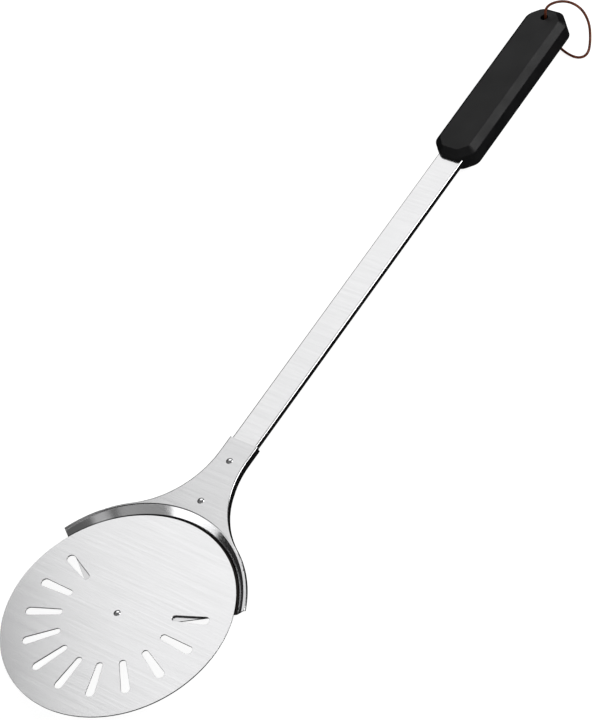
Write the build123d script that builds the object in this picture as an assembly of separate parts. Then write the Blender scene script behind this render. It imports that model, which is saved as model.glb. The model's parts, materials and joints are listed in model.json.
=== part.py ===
from build123d import *
import os
from math import atan2, cos, degrees, radians, sin, tan

# Turning peel: a slotted steel disc that spins on a pressed head, a flat tube and a moulded grip.
# Three frames are used, all in millimetres:
#   disc frame    origin at the centre of the disc's top face, +Z along the spin axis, +X to the grip
#   handle frame  the same, tipped up by HANDLE_RISE, +Z square to the head's upper sheet, which is z = 0
#   part frame    the peel lying on a table: heel of the head and front of the grip's underside touch it

# Disc
DISC_R = 100.0
DISC_T = 1.2
SLOT_COUNT = 11
SLOT_STEP = 22.0            # degrees between slots
SLOT_R_IN = 48.5
SLOT_R_OUT = 81.2
SLOT_W = 5.6                # at the inner end
SLOT_TIP_W = 7.6            # at the outer end

# Pressed head: fan under the disc, flare round its back edge, upper sheet that runs on as the neck
SHEET_T = 1.0
HANDLE_RISE = 5.53          # degrees between the disc and the handle
SHEET_Z = -2.6              # height of the upper sheet's plane above the pivot, disc frame
FAN_TOP_Z = -1.8
FLARE_R_LOW = 101.5         # flare's inner surface where it leaves the fan
FLARE_R_TOP = 108.2         # and where it meets the upper sheet
FLARE_WALL = 0.5            # radial step between the flare's two surfaces
LIP_R = 110.0
FAN_BOSS_R = 15.3
FAN_EDGE_ANGLE = 55.6       # degrees from the handle to the fan's straight edges
NECK_HALF_W = 14.9
NECK_CURVE_END = 168.0
NECK_CURVE_R = 86.0
NECK_END = 184.0
FLANGE_DEPTH = 6.6
FLANGE_TIP_DEPTH = 1.4
FLANGE_FULL_FROM = 138.0
FLANGE_TIP_X = 50.0
BEND_R = 1.5
LIP_SWEEP = 75.0            # the lip is drawn past the fan's edges and trimmed there

# Pivot
SHANK_R = 2.0
HEAD_R = 3.0
HEAD_H = 1.2
TAIL_R = 3.2
TAIL_H = 0.8
RUNNING_GAP = 0.05
WASHER_T = 0.5
WASHER_R = 9.0
BACKING_R = 6.0
BACKING_T = 0.8

# Flat tube and its rivets
TUBE_W = 26.0
TUBE_H = 6.0
TUBE_WALL = 1.2
TUBE_CORNER = 1.5
TUBE_START = 112.0
TUBE_END = 652.0
PLUG_LEN = 3.4
RIVET_X = (119.8, 162.7)

# Grip
GRIP_START = 512.0
GRIP_END = 694.5
GRIP_W = 42.5
GRIP_H = 26.0
GRIP_MID_Z = -4.8
GRIP_BEVEL = 5.6
GRIP_CORNER = 11.0
GRIP_CORNER_R = 10.0
COVER_START = 526.0
COVER_END = 656.0
COVER_W = 29.0
COVER_T = 2.0
SCREW_X = (548.0, 634.0)
SCREW_R = 1.95
SCREW_HEAD_R = 3.9
SCREW_TIP_Z = 5.0
POST_R = 4.6
CORE_LEN = 36.0
HOLE_X = 680.8
HOLE_R = 3.5
KNOT_POCKET_R = 8.0
KNOT_POCKET_DEPTH = 7.0
FIT_GAP = 0.1

# Hanging cord: up the hole from the knot, over the grip's end, down to the table and back to the knot.
# Each point is (ahead of the hole, aside, above the table), part frame.
CORD_D = 2.4
CORD_ROUTE = [
    (0.0, 0.0, 8.9),
    (-0.3, 0.0, 31.2),
    (6.3, -2.6, 40.0),
    (18.8, -12.6, 36.2),
    (23.6, -24.0, 26.3),
    (18.7, -33.5, 15.2),
    (6.4, -40.0, 5.7),
    (-7.2, -44.4, 1.3),
    (-14.4, -37.0, 1.3),
    (-10.9, -20.5, 1.3),
    (-4.0, -8.0, 1.3),
    (0.3, 0.0, 3.7),
]
KNOT_R = 4.0
KNOT_Z = -15.2              # handle frame


def disc_to_handle(x, z):
    """Turn a point of the disc frame into the handle frame."""
    rise = radians(HANDLE_RISE)
    return (x * cos(rise) + (z - SHEET_Z) * sin(rise), -x * sin(rise) + (z - SHEET_Z) * cos(rise))


# The peel rests on the flare's lower edge and on the front end of the grip's flat underside.
HEEL = disc_to_handle(FLARE_R_LOW + FLARE_WALL, FAN_TOP_Z - SHEET_T)
GRIP_TOE = (GRIP_START + GRIP_BEVEL, GRIP_MID_Z - GRIP_H / 2)
HANDLE_SLOPE = degrees(atan2(HEEL[1] - GRIP_TOE[1], GRIP_TOE[0] - HEEL[0]))

HANDLE_IN_DISC = Pos(0, 0, SHEET_Z) * Rot(0, -HANDLE_RISE, 0)
DISC_TILTED = Rot(0, HANDLE_RISE - HANDLE_SLOPE, 0)


def along_z(radius, z_low, z_high, x=0.0, y=0.0):
    """Cylinder about Z between two heights."""
    return Pos(x, y, (z_low + z_high) / 2) * Cylinder(radius, z_high - z_low)


def box_between(x, y, z):
    """Box between the two values of each range."""
    centre = [(a + b) / 2 for a, b in (x, y, z)]
    return Pos(*centre) * Box(x[1] - x[0], y[1] - y[0], z[1] - z[0])


def polar(radius, angle):
    return (radius * cos(radians(angle)), radius * sin(radians(angle)))


def dome(radius, height, z):
    """Low spherical cap standing on a plane at z."""
    ball = (radius ** 2 + height ** 2) / (2 * height)
    return (Pos(0, 0, z + height - ball) * Sphere(ball)) & along_z(radius, z, z + height)


def slot_face():
    """Round-ended slot along +X, wider at its outer end."""
    inner_r = SLOT_W / 2
    outer_r = SLOT_TIP_W / 2
    inner_x = SLOT_R_IN + inner_r
    outer_x = SLOT_R_OUT - outer_r
    lean = radians(90) - atan2(outer_r - inner_r, outer_x - inner_x)
    a = (inner_x - inner_r * cos(lean), inner_r * sin(lean))
    b = (outer_x - outer_r * cos(lean), outer_r * sin(lean))
    edges = [
        Line(a, b),
        ThreePointArc(b, (SLOT_R_OUT, 0), (b[0], -b[1])),
        Line((b[0], -b[1]), (a[0], -a[1])),
        ThreePointArc((a[0], -a[1]), (SLOT_R_IN, 0), a),
    ]
    return make_face(Wire(edges))


def turning_disc():
    """Slotted disc; the slots fan out round the front, away from the handle."""
    plate = along_z(DISC_R, -DISC_T, 0) - along_z(SHANK_R + RUNNING_GAP, -2 * DISC_T, DISC_T)
    cutter = Pos(0, 0, -2 * DISC_T) * extrude(slot_face(), amount=3 * DISC_T)
    middle = (SLOT_COUNT - 1) / 2
    for k in range(SLOT_COUNT):
        plate -= Rot(0, 0, 180 + (k - middle) * SLOT_STEP) * cutter
    return plate


def fan_wedge():
    """Plan of the space the head keeps to: round the pivot and out between the two straight edges."""
    tip = Vector(*polar(FAN_BOSS_R, 90 + FAN_EDGE_ANGLE))
    far = tip + Vector(*polar(4 * LIP_R, FAN_EDGE_ANGLE))
    edges = [
        ThreePointArc(tip, (-FAN_BOSS_R, 0), (tip.X, -tip.Y)),
        Line((tip.X, -tip.Y), (far.X, -far.Y)),
        Line((far.X, -far.Y), far),
        Line(far, tip),
    ]
    return make_face(Wire(edges))


def neck_side(inset, end):
    """Edge of lip and neck on the +Y side: round the lip, in along a hollow curve, then straight."""
    centre = (NECK_CURVE_END, NECK_HALF_W + NECK_CURVE_R)
    meet = degrees(atan2(centre[1], centre[0]))
    lip_r = LIP_R - inset
    curve_r = NECK_CURVE_R + inset
    join = polar(lip_r, meet)
    bow = polar(curve_r, (180 + meet + 270) / 2)
    tangent = (NECK_CURVE_END, NECK_HALF_W - inset)
    return [
        ThreePointArc(polar(lip_r, LIP_SWEEP), polar(lip_r, (LIP_SWEEP + meet) / 2), join),
        ThreePointArc(join, (centre[0] + bow[0], centre[1] + bow[1]), tangent),
        Line(tangent, (end, NECK_HALF_W - inset)),
    ]


def sheet_block(inset, end, top, bend):
    """Block under the lip's and neck's outline, its long upper edges rounded by the bend."""
    upper = neck_side(inset, end)
    lower = [edge.mirror(Plane.XZ) for edge in upper]
    start = polar(LIP_R - inset, LIP_SWEEP)
    edges = upper + lower + [
        Line((end, NECK_HALF_W - inset), (end, inset - NECK_HALF_W)),
        Line(start, (start[0], -start[1])),
    ]
    depth = 2 * FLANGE_DEPTH
    block = Pos(0, 0, top - depth) * extrude(make_face(Wire(edges)), amount=depth)
    rim = block.faces().sort_by(Axis.Z)[-1].edges()
    return fillet([edge for edge in rim if abs(edge.center().Y) > NECK_HALF_W / 2], bend)


def flange_room():
    """Side view of the upper sheet; its flanges get shallower towards the lip's ends."""
    profile = [
        (0, 1),
        (NECK_END + 5, 1),
        (NECK_END + 5, -FLANGE_DEPTH),
        (FLANGE_FULL_FROM, -FLANGE_DEPTH),
        (FLANGE_TIP_X, -FLANGE_TIP_DEPTH),
        (0, -FLANGE_TIP_DEPTH),
    ]
    face = Plane.XZ * make_face(Polyline(*profile, close=True))
    return extrude(face, amount=2 * LIP_R, both=True)


def upper_sheet():
    """Lip and neck with their turned-down flanges, handle frame."""
    sheet = sheet_block(0, NECK_END, 0, BEND_R)
    sheet -= sheet_block(SHEET_T, NECK_END + 5, -SHEET_T, BEND_R - SHEET_T)
    return (sheet & flange_room()) - along_z(FLARE_R_TOP, -40, 40)


def segment(radius, plane):
    """Part of a round plate beyond a chord, on a plane."""
    a, b = polar(radius, LIP_SWEEP), polar(radius, -LIP_SWEEP)
    return plane * make_face(Wire([ThreePointArc(b, (radius, 0), a), Line(a, b)]))


def bowl(low_r, low_z, top_r, drop):
    """Solid between a circle in the disc's plane and one at a drop below the upper sheet's plane."""
    top_plane = Plane(HANDLE_IN_DISC * Pos(0, 0, -drop))
    return loft([segment(low_r, Plane.XY.offset(low_z)), segment(top_r, top_plane)], ruled=True)


def head_shell():
    """The pressed head, one sheet, with its rivet holes."""
    low_r = FLARE_R_LOW + FLARE_WALL
    low_z = FAN_TOP_Z - SHEET_T
    shell = along_z(low_r, low_z, FAN_TOP_Z)
    shell += bowl(low_r, low_z, FLARE_R_TOP + FLARE_WALL, SHEET_T)
    shell -= bowl(FLARE_R_LOW, FAN_TOP_Z, FLARE_R_TOP, 0)
    shell += HANDLE_IN_DISC * upper_sheet()
    shell &= Pos(0, 0, -40) * extrude(fan_wedge(), amount=80)
    shell -= along_z(SHANK_R + FIT_GAP, -10, 10)
    for x in RIVET_X:
        shell -= HANDLE_IN_DISC * along_z(SHANK_R + FIT_GAP, -10, 10, x)
    return shell


def pivot_rivet():
    """Rivet that the disc spins on: dome above the disc, flat tail under the fan."""
    bottom = FAN_TOP_Z - SHEET_T - BACKING_T
    rivet = along_z(SHANK_R, bottom, RUNNING_GAP) + dome(HEAD_R, HEAD_H, RUNNING_GAP)
    return rivet + along_z(TAIL_R, bottom - TAIL_H, bottom)


def disc_washer():
    """Slippery washer between disc and fan."""
    ring = along_z(WASHER_R, FAN_TOP_Z, FAN_TOP_Z + WASHER_T)
    return ring - along_z(SHANK_R + RUNNING_GAP, -10, 10)


def backing_washer():
    bottom = FAN_TOP_Z - SHEET_T
    return along_z(BACKING_R, bottom - BACKING_T, bottom) - along_z(SHANK_R + FIT_GAP, -10, 10)


def rounded_bar(width, height, corner, start, end, mid_z):
    """Bar along X with rounded long edges."""
    face = Plane.YZ * RectangleRounded(width, height, corner)
    return Pos(start, 0, mid_z) * extrude(face, amount=end - start)


TUBE_TOP = -SHEET_T
TUBE_MID = TUBE_TOP - TUBE_H / 2
TUBE_LOW = TUBE_TOP - TUBE_H


def handle_tube():
    inner_w = TUBE_W - 2 * TUBE_WALL
    inner_h = TUBE_H - 2 * TUBE_WALL
    tube = rounded_bar(TUBE_W, TUBE_H, TUBE_CORNER, TUBE_START, TUBE_END, TUBE_MID)
    tube -= rounded_bar(inner_w, inner_h, 0.6, TUBE_START - 1, TUBE_END + 1, TUBE_MID)
    for x in RIVET_X:
        tube -= along_z(SHANK_R + FIT_GAP, -20, 10, x)
    for x in SCREW_X:
        tube -= along_z(SCREW_R + FIT_GAP, -20, 10, x)
    return tube


def tube_plug():
    """Plug that closes the tube's front end under the neck."""
    width = TUBE_W - 2 * TUBE_WALL - 2 * FIT_GAP
    height = TUBE_H - 2 * TUBE_WALL - 2 * FIT_GAP
    return rounded_bar(width, height, 0.6, TUBE_START, TUBE_START + PLUG_LEN, TUBE_MID)


def at_rivets(shape):
    return Compound(children=[Pos(x, 0, 0) * shape for x in RIVET_X])


def neck_rivets():
    """Two rivets through the neck and the tube."""
    bottom = TUBE_LOW - BACKING_T
    rivet = along_z(SHANK_R, bottom, 0) + dome(HEAD_R, HEAD_H, 0)
    return at_rivets(rivet + along_z(TAIL_R, bottom - TAIL_H, bottom))


def neck_washers():
    return at_rivets(along_z(BACKING_R, TUBE_LOW - BACKING_T, TUBE_LOW)
                     - along_z(SHANK_R + FIT_GAP, -20, 10))


def tube_spacers():
    """Sleeves inside the tube that keep the rivets from crushing it."""
    half = TUBE_H / 2 - TUBE_WALL
    sleeve = along_z(SHANK_R + 1.5, TUBE_MID - half, TUBE_MID + half)
    return at_rivets(sleeve - along_z(SHANK_R + FIT_GAP, -20, 10))


def grip_block():
    """Outside of the grip: long octagonal bar with cut corners and bevelled edges."""
    half = GRIP_W / 2
    near, far = GRIP_START, GRIP_END
    c = GRIP_CORNER
    plan = [
        (near, -half + c), (near + c, -half), (far - c, -half), (far, -half + c),
        (far, half - c), (far - c, half), (near + c, half), (near, half - c),
    ]
    face = make_face(Polyline(*plan, close=True))
    block = extrude(fillet(face.vertices(), GRIP_CORNER_R), amount=GRIP_H)
    block = Pos(0, 0, GRIP_MID_Z - GRIP_H / 2) * block
    rims = block.faces().sort_by(Axis.Z)
    return chamfer(rims[0].edges() + rims[-1].edges(), GRIP_BEVEL)


GRIP_LOW = GRIP_MID_Z - GRIP_H / 2
GRIP_TOP = GRIP_MID_Z + GRIP_H / 2


def grip_body():
    """Moulded grip, cored out from below, with a bed for the tube and the hole for the cord."""
    body = grip_block()
    half = TUBE_W / 2 + FIT_GAP
    body -= rounded_bar(TUBE_W + 2 * FIT_GAP, TUBE_H + 2 * FIT_GAP, TUBE_CORNER,
                        GRIP_START - 1, TUBE_END + 1, TUBE_MID)
    body -= box_between((COVER_START + 3, COVER_END - 3), (-half, half), (GRIP_LOW - 1, TUBE_MID))
    body -= box_between((COVER_START, COVER_END), (-COVER_W / 2, COVER_W / 2),
                        (GRIP_LOW - 1, GRIP_LOW + COVER_T))
    middle = sum(SCREW_X) / 2
    for x in (middle - CORE_LEN / 2 - 1.5, middle + CORE_LEN / 2 + 1.5):
        body -= box_between((x - CORE_LEN / 2, x + CORE_LEN / 2), (-10, 10), (TUBE_MID, 4.5))
    for x in SCREW_X:
        body -= along_z(SCREW_R, TUBE_MID, SCREW_TIP_Z + 0.5, x)
    body -= along_z(HOLE_R, GRIP_LOW - 1, GRIP_TOP + 1, HOLE_X)
    body -= along_z(KNOT_POCKET_R, GRIP_LOW - 1, GRIP_LOW + KNOT_POCKET_DEPTH, HOLE_X)
    return body


def grip_cover():
    """Flat cover in the grip's underside, with a post at each screw."""
    gap = 2 * FIT_GAP
    plate = box_between((COVER_START + gap, COVER_END - gap),
                        (-COVER_W / 2 + gap, COVER_W / 2 - gap), (GRIP_LOW, GRIP_LOW + COVER_T))
    for x in SCREW_X:
        plate += along_z(POST_R, GRIP_LOW, TUBE_LOW, x)
    for x in SCREW_X:
        plate -= along_z(SCREW_R + FIT_GAP, GRIP_LOW - 1, TUBE_LOW + 1, x)
        plate -= Pos(x, 0, 0) * screw_head(FIT_GAP)
    return plate


def screw_head(gap=0.0):
    """Countersunk head flush with the cover."""
    depth = SCREW_HEAD_R - SCREW_R
    cone = Pos(0, 0, GRIP_LOW + depth / 2) * Cone(SCREW_HEAD_R + gap, SCREW_R + gap, depth)
    return cone


def grip_screws():
    """Two screws through cover and tube into the grip."""
    screw = along_z(SCREW_R - 0.05, GRIP_LOW + 0.5, SCREW_TIP_Z) + screw_head()
    socket = Pos(0, 0, GRIP_LOW - 0.5) * extrude(RegularPolygon(1.3, 6), amount=1.8)
    screw -= socket
    return Compound(children=[Pos(x, 0, 0) * screw for x in SCREW_X])


def bend_radii(points):
    """Radius for each corner of a route, so that neighbouring bends don't meet."""
    radii = []
    for before, corner, after in zip(points, points[1:], points[2:]):
        one = Vector(*corner) - Vector(*before)
        two = Vector(*after) - Vector(*corner)
        half_turn = radians(one.get_angle(two)) / 2
        radii.append(0.45 * min(one.length, two.length) / tan(half_turn))
    return radii


def hanging_cord():
    """Round cord along its route; both ends finish inside the knot."""
    path = FilletPolyline(*CORD_ROUTE, radius=bend_radii(CORD_ROUTE))
    section = Plane(origin=path @ 0, z_dir=path % 0) * Circle(CORD_D / 2)
    return sweep(section, path=path)


def cord_knot():
    return Pos(HOLE_X, 0, KNOT_Z) * Sphere(KNOT_R)


DISC_PARTS = {
    "turning_disc": turning_disc,
    "head_shell": head_shell,
    "pivot_rivet": pivot_rivet,
    "disc_washer": disc_washer,
    "backing_washer": backing_washer,
}
HANDLE_PARTS = {
    "handle_tube": handle_tube,
    "tube_plug": tube_plug,
    "tube_spacers": tube_spacers,
    "neck_rivets": neck_rivets,
    "neck_washers": neck_washers,
    "grip_body": grip_body,
    "grip_cover": grip_cover,
    "grip_screws": grip_screws,
    "cord_knot": cord_knot,
}


def build():
    """Every piece in the part frame, centred over its footprint."""
    pieces = {name: DISC_TILTED * make() for name, make in DISC_PARTS.items()}
    for name, make in HANDLE_PARTS.items():
        pieces[name] = DISC_TILTED * HANDLE_IN_DISC * make()
    front = pieces["turning_disc"].bounding_box().min.X
    rear = pieces["grip_body"].bounding_box().max.X
    table = pieces["head_shell"].bounding_box().min.Z
    shift = Pos(-(front + rear) / 2, 0, -table)
    placed = {name: shift * piece for name, piece in pieces.items()}
    hole = (shift * DISC_TILTED * HANDLE_IN_DISC * Pos(HOLE_X, 0, GRIP_LOW)).position
    placed["hanging_cord"] = Pos(hole.X, 0, 0) * hanging_cord()
    return placed


if __name__ == "__main__":
    os.makedirs("parts", exist_ok=True)
    for name, piece in build().items():
        export_step(piece, f"parts/{name}.step")
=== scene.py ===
import json
import math

import bmesh
import bpy
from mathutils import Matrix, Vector

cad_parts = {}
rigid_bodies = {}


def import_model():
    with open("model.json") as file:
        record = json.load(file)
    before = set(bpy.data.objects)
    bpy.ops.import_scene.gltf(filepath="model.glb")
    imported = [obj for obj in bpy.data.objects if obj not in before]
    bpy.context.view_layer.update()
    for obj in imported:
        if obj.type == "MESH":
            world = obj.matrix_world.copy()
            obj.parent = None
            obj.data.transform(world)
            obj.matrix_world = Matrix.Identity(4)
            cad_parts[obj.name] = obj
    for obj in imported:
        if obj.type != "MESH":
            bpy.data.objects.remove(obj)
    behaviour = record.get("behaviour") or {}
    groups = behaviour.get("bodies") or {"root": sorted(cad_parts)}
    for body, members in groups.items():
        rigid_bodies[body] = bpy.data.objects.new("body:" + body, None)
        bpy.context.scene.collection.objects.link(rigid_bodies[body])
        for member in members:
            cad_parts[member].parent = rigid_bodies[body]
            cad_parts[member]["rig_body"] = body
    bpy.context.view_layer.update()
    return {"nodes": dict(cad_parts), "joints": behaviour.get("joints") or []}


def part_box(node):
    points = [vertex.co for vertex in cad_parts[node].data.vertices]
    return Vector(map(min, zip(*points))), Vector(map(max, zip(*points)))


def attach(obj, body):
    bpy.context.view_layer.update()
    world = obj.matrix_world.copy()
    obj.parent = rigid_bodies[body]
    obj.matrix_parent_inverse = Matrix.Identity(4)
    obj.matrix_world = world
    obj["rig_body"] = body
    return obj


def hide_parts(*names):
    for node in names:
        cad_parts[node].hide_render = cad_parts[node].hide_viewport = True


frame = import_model()
nodes = frame["nodes"]

# Disc frame, from the imported joint, and a painted shade in the narrow gap between disc and flare: the
# radii where it fades in and out, and its colour
SPIN = frame["joints"][0]
PIVOT = SPIN["pos_m"]
DISC_TILT = math.atan2(SPIN["axis"][0], SPIN["axis"][2])
GROOVE_SHADE_START = (0.0985, 0.0995)
GROOVE_SHADE_END = (0.1017, 0.1023)
# Near-black painted shade for the gap round the disc, not a colour of the steel
GROOVE_SHADE_COLOUR = (0.012, 0.011, 0.010, 1.0)

# Cord route, as in the part's source: NURBS control points, metres
CORD_D = 0.0024
CORD_ROUTE = [
    (0.3835, 0.0, 0.0089),
    (0.3832, 0.0, 0.0312),
    (0.3898, -0.0026, 0.0400),
    (0.4023, -0.0126, 0.0362),
    (0.4071, -0.0240, 0.0263),
    (0.4022, -0.0335, 0.0152),
    (0.3899, -0.0400, 0.0057),
    (0.3763, -0.0444, 0.0013),
    (0.3691, -0.0370, 0.0013),
    (0.3726, -0.0205, 0.0013),
    (0.3795, -0.0080, 0.0013),
    (0.3838, 0.0, 0.0037),
]
KNOT_STRAND = 0.0023
KNOT_SCALE = 0.00094
KNOT_DEPTH = 1.15
KNOT_POINTS = 24

# Rounding of edges, metres
SHEET_EDGE = 0.0002
GRIP_EDGE = 0.0006

# Camera
CAMERA_PLACE = (-0.86431, -1.19280, 1.65026)
CAMERA_TURN = (38.8188, 16.8610, -54.8263)      # degrees
CAMERA_LENS = 128.98                            # mm, on a 36 mm sensor

# Stage
FLOOR_HALF = 6.0
FLOOR_DROP = 0.0003
FLOOR_GLOW = 0.93
SKY = [(0.0, 0.01), (0.20, 0.02), (0.40, 0.10), (0.75, 0.20), (1.0, 0.16)]
PANELS = [      # name, direction, distance, size, radiance
    ("overhead", (0.578, 0.405, 0.708), 2.5, (2.1, 2.1), 1.20),
    ("overhead_rear", (0.80, 0.30, 0.52), 2.4, (1.3, 1.6), 0.25),
    ("key", (0.50, -0.69, 0.52), 2.25, (1.4, 1.0), 6.0),
    ("back_left", (-0.83, 0.55, 0.08), 1.9, (1.15, 0.55), 2.6),
    ("front_low", (-0.94, -0.10, 0.32), 2.3, (2.0, 1.2), 0.42),
    ("front_high", (-0.63, -0.44, 0.64), 2.2, (0.8, 0.7), 0.60),
]


# Camera

def add_camera():
    data = bpy.data.cameras.new("camera")
    data.sensor_width = 36.0
    data.lens = CAMERA_LENS
    data.clip_start = 0.05
    data.clip_end = 20.0
    cam = bpy.data.objects.new("camera", data)
    cam.location = CAMERA_PLACE
    cam.rotation_euler = [math.radians(a) for a in CAMERA_TURN]
    bpy.context.scene.collection.objects.link(cam)
    bpy.context.scene.camera = cam


# Material building blocks

class Nodes:
    """Small helper that adds shader nodes to one material."""

    def __init__(self, name):
        self.material = bpy.data.materials.new(name)
        self.material.use_nodes = True
        self.tree = self.material.node_tree
        self.shader = self.tree.nodes["Principled BSDF"]

    def add(self, kind, settings=(), inputs=()):
        node = self.tree.nodes.new(kind)
        for key, value in dict(settings).items():
            setattr(node, key, value)
        for key, value in dict(inputs).items():
            node.inputs[key].default_value = value
        return node

    def link(self, source, target):
        self.tree.links.new(source, target)

    def coords(self, scale, turn=(0, 0, 0)):
        where = self.add("ShaderNodeTexCoord")
        mapping = self.add("ShaderNodeMapping", inputs={"Scale": scale, "Rotation": turn})
        self.link(where.outputs["Object"], mapping.inputs["Vector"])
        return mapping.outputs["Vector"]

    def noise(self, vector, scale, detail=4.0, rough=0.55):
        node = self.add("ShaderNodeTexNoise", inputs={
            "Scale": scale, "Detail": detail, "Roughness": rough})
        self.link(vector, node.inputs["Vector"])
        return node.outputs["Fac"]

    def remap(self, value, low, high, from_low=0.0, from_high=1.0):
        node = self.add("ShaderNodeMapRange", inputs={
            "From Min": from_low, "From Max": from_high, "To Min": low, "To Max": high})
        self.link(value, node.inputs["Value"])
        return node.outputs["Result"]

    def weigh(self, one, two, share):
        """Weighted mean of two values."""
        scaled = self.add("ShaderNodeMath", {"operation": "MULTIPLY"}, {1: 1.0 - share})
        self.link(two, scaled.inputs[0])
        mean = self.add("ShaderNodeMath", {"operation": "MULTIPLY_ADD"}, {1: share})
        self.link(one, mean.inputs[0])
        self.link(scaled.outputs[0], mean.inputs[2])
        return mean.outputs[0]

    def ramp(self, value, stops):
        node = self.add("ShaderNodeValToRGB")
        band = node.color_ramp
        while len(band.elements) < len(stops):
            band.elements.new(0.5)
        for element, (place, colour) in zip(band.elements, stops):
            element.position = place
            element.color = (*colour, 1.0)
        self.link(value, node.inputs["Fac"])
        return node.outputs["Color"]

    def painted_groove_shade(self, unshaded):
        """Painted shade: a dark band on the steel in the narrow gap round the disc, where the disc and
        flare shade it.
        """
        where = self.add("ShaderNodeTexCoord")
        turned = self.add("ShaderNodeMapping", {"vector_type": "TEXTURE"},
                          {"Location": PIVOT, "Rotation": (0.0, DISC_TILT, 0.0)})
        self.link(where.outputs["Object"], turned.inputs["Vector"])
        flat = self.add("ShaderNodeVectorMath", {"operation": "MULTIPLY"}, {1: (1, 1, 0)})
        self.link(turned.outputs["Vector"], flat.inputs[0])
        radius = self.add("ShaderNodeVectorMath", {"operation": "LENGTH"})
        self.link(flat.outputs["Vector"], radius.inputs[0])
        inner = self.remap(radius.outputs["Value"], 0.0, 1.0, *GROOVE_SHADE_START)
        outer = self.remap(radius.outputs["Value"], 1.0, 0.0, *GROOVE_SHADE_END)
        share = self.add("ShaderNodeMath", {"operation": "MULTIPLY"})
        self.link(inner, share.inputs[0])
        self.link(outer, share.inputs[1])
        mix = self.add("ShaderNodeMix", {"data_type": "RGBA"})
        # A colour mix has its factor, first and second colour at inputs 0, 6 and 7, its result at output 2
        self.link(share.outputs[0], mix.inputs[0])
        self.link(unshaded, mix.inputs[6])
        # Painted shade colour laid over the steel in the gap round the disc
        mix.inputs[7].default_value = GROOVE_SHADE_COLOUR
        return mix.outputs[2]

    def bump(self, height, strength, distance, under=None):
        node = self.add("ShaderNodeBump", inputs={"Strength": strength, "Distance": distance})
        self.link(height, node.inputs["Height"])
        if under is not None:
            self.link(under, node.inputs["Normal"])
        return node.outputs["Normal"]


def steel(name, colours, rough, brush, bump=0.08, patches=25.0, groove_shade=False):
    """Stainless steel; brush is the noise scale along X, Y, Z, so lines run along the smallest."""
    n = Nodes(name)
    lines = n.noise(n.coords(brush), 1.0, 3.0, 0.6)
    streaks = n.noise(n.coords([0.30 * scale for scale in brush]), 1.0, 5.0, 0.75)
    cloud = n.noise(n.coords((1, 1, 1)), patches, 3.0)
    tint = n.weigh(streaks, cloud, 0.7)
    colour = n.ramp(tint, [(0.30, colours[0]), (0.70, colours[1])])
    # Optionally paints shade into the narrow gap round the disc
    if groove_shade:
        colour = n.painted_groove_shade(colour)
    n.link(colour, n.shader.inputs["Base Color"])
    n.link(n.remap(n.weigh(lines, cloud, 0.75), rough[0], rough[1], 0.25, 0.75),
           n.shader.inputs["Roughness"])
    broad = n.bump(streaks, bump, 0.00005)
    n.link(n.bump(lines, bump, 0.00006, broad), n.shader.inputs["Normal"])
    n.shader.inputs["Metallic"].default_value = 1.0
    return n.material


def moulded(name, colours, rough, grain=2600.0, bump=0.25):
    """Moulded plastic with a fine spark-eroded grain and a little handling wear."""
    n = Nodes(name)
    fine = n.noise(n.coords((1, 1, 1)), grain, 2.0)
    wear = n.noise(n.coords((1, 1, 1)), 38.0, 5.0)
    n.link(n.ramp(wear, [(0.35, colours[0]), (0.7, colours[1])]), n.shader.inputs["Base Color"])
    n.link(n.remap(wear, rough[0], rough[1], 0.3, 0.7), n.shader.inputs["Roughness"])
    n.link(n.bump(fine, bump, 0.0001), n.shader.inputs["Normal"])
    n.shader.inputs["Specular IOR Level"].default_value = 0.20
    return n.material


def leather(name):
    n = Nodes(name)
    grain = n.add("ShaderNodeTexVoronoi", {"feature": "SMOOTH_F1"}, {"Scale": 1500.0})
    n.link(n.coords((1, 1, 1)), grain.inputs["Vector"])
    worn = n.noise(n.coords((1, 1, 1)), 170.0, 6.0, 0.65)
    n.link(n.ramp(worn, [(0.30, (0.055, 0.013, 0.006)), (0.55, (0.15, 0.036, 0.014)),
                         (0.75, (0.30, 0.085, 0.03))]), n.shader.inputs["Base Color"])
    n.link(n.remap(worn, 0.38, 0.62), n.shader.inputs["Roughness"])
    n.shader.inputs["Specular IOR Level"].default_value = 0.25
    pores = n.bump(grain.outputs["Distance"], 0.2, 0.0001)
    n.link(n.bump(worn, 0.3, 0.0002, pores), n.shader.inputs["Normal"])
    return n.material


# Mesh building blocks

def new_piece(name, mesh, node, material):
    piece = bpy.data.objects.new(name, mesh)
    bpy.context.scene.collection.objects.link(piece)
    piece.data.materials.clear()
    piece.data.materials.append(material)
    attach(piece, nodes[node]["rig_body"])
    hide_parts(node)
    return piece


def softened(node, name, material, edge, angle=25.0, segments=2):
    """Copy of a CAD node with welded seams, small rounded edges and smooth curved faces."""
    mesh = nodes[node].data.copy()
    bm = bmesh.new()
    bm.from_mesh(mesh)
    bmesh.ops.remove_doubles(bm, verts=bm.verts, dist=1e-6)
    bmesh.ops.dissolve_limit(bm, angle_limit=math.radians(0.5), verts=bm.verts, edges=bm.edges)
    bm.to_mesh(mesh)
    bm.free()
    piece = new_piece(name, mesh, node, material)
    for face in mesh.polygons:
        face.use_smooth = True
    bevel = piece.modifiers.new("edges", "BEVEL")
    bevel.width = edge
    bevel.segments = segments
    bevel.limit_method = "ANGLE"
    bevel.angle_limit = math.radians(angle)
    bevel.harden_normals = True
    weighted = piece.modifiers.new("normals", "WEIGHTED_NORMAL")
    weighted.keep_sharp = True
    return piece


def finish_node(node, material):
    """CAD node that keeps its own shape: only its material changes."""
    nodes[node].data.materials.clear()
    nodes[node].data.materials.append(material)


# Pieces

def add_cord(material, knot):
    curve = bpy.data.curves.new("leather_loop", "CURVE")
    curve.dimensions = "3D"
    curve.bevel_depth = CORD_D / 2
    curve.bevel_resolution = 8
    curve.resolution_u = 16
    spline = curve.splines.new("NURBS")
    spline.points.add(len(CORD_ROUTE) - 1)
    for point, place in zip(spline.points, CORD_ROUTE):
        point.co = (*place, 1.0)
    spline.order_u = 3
    spline.use_endpoint_u = True
    curve.use_fill_caps = True
    piece = new_piece("leather_loop", curve, "hanging_cord", material)


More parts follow.
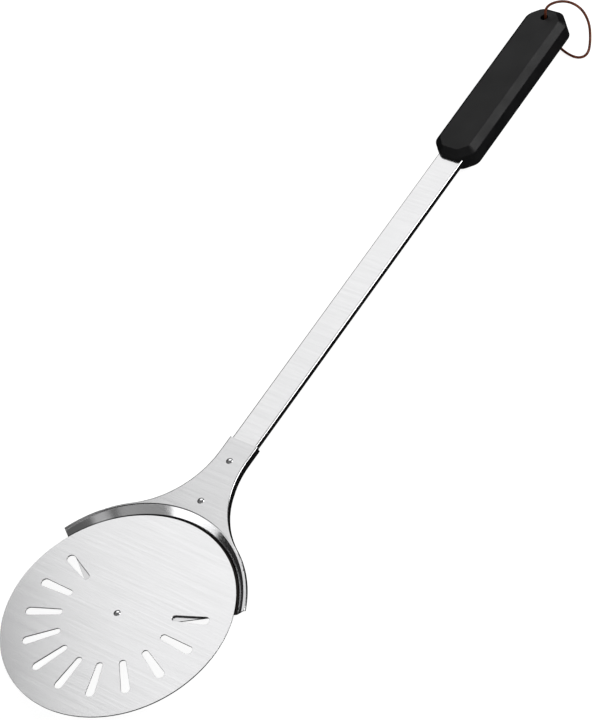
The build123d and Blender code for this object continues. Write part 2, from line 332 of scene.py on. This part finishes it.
def add_knot(material):
    """Overhand knot as a closed curve, inside the space of the plain knot."""
    low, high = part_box("cord_knot")
    middle = (Vector(low) + Vector(high)) / 2
    curve = bpy.data.curves.new("leather_knot", "CURVE")
    curve.dimensions = "3D"
    curve.bevel_depth = KNOT_STRAND / 2
    curve.bevel_resolution = 8
    curve.resolution_u = 12
    spline = curve.splines.new("NURBS")
    spline.points.add(KNOT_POINTS - 1)
    for k, point in enumerate(spline.points):
        t = 2 * math.pi * k / KNOT_POINTS
        place = Vector((math.sin(t) + 2 * math.sin(2 * t), math.cos(t) - 2 * math.cos(2 * t),
                        -KNOT_DEPTH * math.sin(3 * t)))
        point.co = (*(middle + place * KNOT_SCALE), 1.0)
    spline.order_u = 3
    spline.use_cyclic_u = True
    return new_piece("leather_knot", curve, "cord_knot", material)


def add_floor():
    half = FLOOR_HALF
    corners = [(-half, -half, 0), (half, -half, 0), (half, half, 0), (-half, half, 0)]
    mesh = bpy.data.meshes.new("floor")
    mesh.from_pydata(corners, [], [(0, 1, 2, 3)])
    floor = bpy.data.objects.new("floor", mesh)
    floor.location.z = -FLOOR_DROP
    bpy.context.scene.collection.objects.link(floor)
    paint = bpy.data.materials.new("floor_paint")
    paint.use_nodes = True
    shader = paint.node_tree.nodes["Principled BSDF"]
    shader.inputs["Base Color"].default_value = (0.35, 0.35, 0.35, 1)
    shader.inputs["Roughness"].default_value = 1.0
    shader.inputs["Emission Color"].default_value = (1, 1, 1, 1)
    shader.inputs["Emission Strength"].default_value = FLOOR_GLOW
    floor.data.materials.append(paint)
    floor.visible_glossy = False


def add_world():
    """Dim surroundings: dark below and at the horizon, brighter overhead."""
    world = bpy.data.worlds.new("studio")
    world.use_nodes = True
    tree = world.node_tree
    where = tree.nodes.new("ShaderNodeTexCoord")
    parts = tree.nodes.new("ShaderNodeSeparateXYZ")
    ramp = tree.nodes.new("ShaderNodeValToRGB")
    tree.links.new(where.outputs["Generated"], parts.inputs[0])
    tree.links.new(parts.outputs["Z"], ramp.inputs["Fac"])
    tree.links.new(ramp.outputs["Color"], tree.nodes["Background"].inputs["Color"])
    band = ramp.color_ramp
    while len(band.elements) < len(SKY):
        band.elements.new(0.5)
    for element, (place, grey) in zip(band.elements, SKY):
        element.position = place
        element.color = (grey, grey, grey, 1)
    bpy.context.scene.world = world


def add_light(name, towards, distance, size, radiance):
    """Soft panel in a direction from the object's middle, facing it; radiance is what a mirror sees."""
    data = bpy.data.lights.new(name, "AREA")
    data.shape = "RECTANGLE"
    data.size, data.size_y = size
    data.energy = radiance * math.pi * size[0] * size[1]
    lamp = bpy.data.objects.new(name, data)
    lamp.location = Vector(towards).normalized() * distance
    lamp.rotation_euler = (-lamp.location).to_track_quat("-Z", "Y").to_euler()
    bpy.context.scene.collection.objects.link(lamp)


add_camera()
bpy.context.scene.view_settings.view_transform = "Standard"

# Brushing runs along Y, across the handle
ACROSS = (1500, 26, 400)
disc_steel = steel("disc_steel", ((0.610, 0.610, 0.615), (0.695, 0.695, 0.702)), (0.16, 0.26), ACROSS,
                   0.12)
# The head steel carries a painted shade band in the narrow gap round the disc
head_steel = steel("head_steel", ((0.49, 0.49, 0.495), (0.56, 0.56, 0.565)), (0.12, 0.20), ACROSS, 0.10,
                   groove_shade=True)
tube_steel = steel("tube_steel", ((0.575, 0.575, 0.58), (0.655, 0.655, 0.66)), (0.14, 0.24), ACROSS,
                   0.04)
dome_steel = steel("dome_steel", ((0.76, 0.76, 0.77), (0.82, 0.82, 0.83)), (0.05, 0.12), (300, 300, 300),
                   0.02, 90.0)
dull_steel = steel("dull_steel", ((0.36, 0.36, 0.38), (0.50, 0.50, 0.52)), (0.28, 0.45), (600, 600, 600))
grip_black = moulded("grip_black", ((0.0045, 0.0045, 0.005), (0.007, 0.007, 0.0075)), (0.40, 0.52))
cover_black = moulded("cover_black", ((0.013, 0.013, 0.014), (0.021, 0.021, 0.022)), (0.5, 0.64), 1800.0)
plug_black = moulded("plug_black", ((0.02, 0.02, 0.02), (0.03, 0.03, 0.03)), (0.5, 0.65), 2000.0)
washer_white = moulded("washer_white", ((0.66, 0.65, 0.60), (0.74, 0.73, 0.69)), (0.4, 0.5), 1500.0, 0.1)
brown_leather = leather("brown_leather")

add_cord(brown_leather, add_knot(brown_leather))
softened("head_shell", "pressed_head", head_steel, SHEET_EDGE)
softened("handle_tube", "flat_tube", tube_steel, SHEET_EDGE)
softened("grip_body", "grip_moulding", grip_black, GRIP_EDGE, segments=3)
softened("turning_disc", "spinning_disc", disc_steel, SHEET_EDGE)
for node in ("pivot_rivet", "neck_rivets"):
    finish_node(node, dome_steel)
for node in ("backing_washer", "neck_washers", "tube_spacers", "grip_screws"):
    finish_node(node, dull_steel)
finish_node("disc_washer", washer_white)
finish_node("tube_plug", plug_black)
finish_node("grip_cover", cover_black)

add_floor()
add_world()
for panel in PANELS:
    add_light(*panel)
